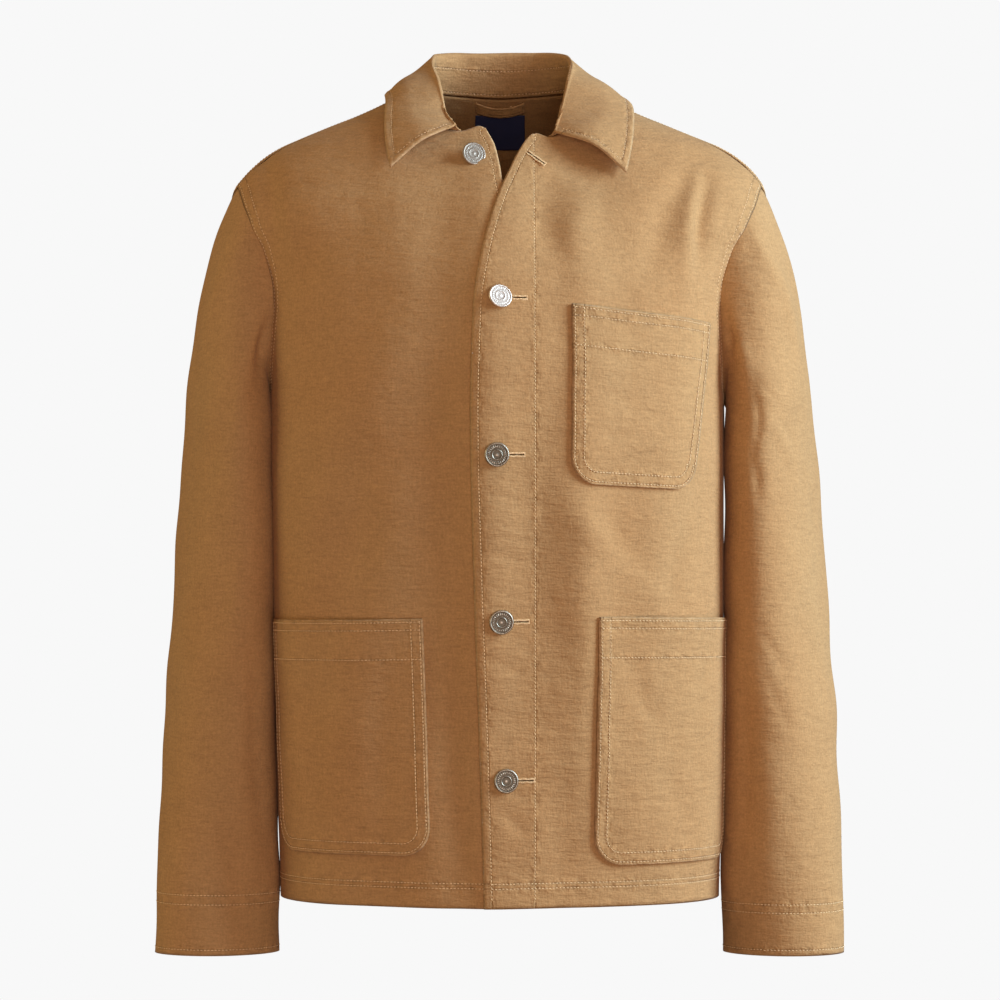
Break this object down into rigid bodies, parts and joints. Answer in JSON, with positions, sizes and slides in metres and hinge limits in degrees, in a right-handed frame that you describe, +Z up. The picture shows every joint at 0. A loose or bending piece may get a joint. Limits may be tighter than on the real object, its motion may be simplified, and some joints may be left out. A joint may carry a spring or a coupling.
{
  "type": "chore jacket",
  "caption": "Button-front canvas chore jacket with turned-down collar, patch pockets and straight sleeves, standing hollow as if worn.",
  "frame": {"origin": "on the wearer's shoulders: the middle of the line across the neck between the shoulder seams' inner ends, in the plane of the side seams", "axes": "+Z up; -Y is the front; +X is the wearer's left"},
  "size_m": [0.5816, 0.3008, 0.7676],
  "materials": {
    "canvas": "matte cotton canvas, tan",
    "metal": "antique nickel",
    "label": "woven navy satin"
  },
  "bodies": {
    "root": {"front_left": "canvas", "front_right": "canvas", "back": "canvas", "sleeve_left": "canvas", "sleeve_right": "canvas", "collar": "canvas", "chest_pocket": "canvas", "lower_pocket_left": "canvas", "lower_pocket_right": "canvas", "hanger_loop": "canvas", "neck_label": "label", "button_1": "metal", "button_2": "metal", "button_3": "metal", "button_4": "metal", "button_5": "metal"}
  },
  "joints": []
}
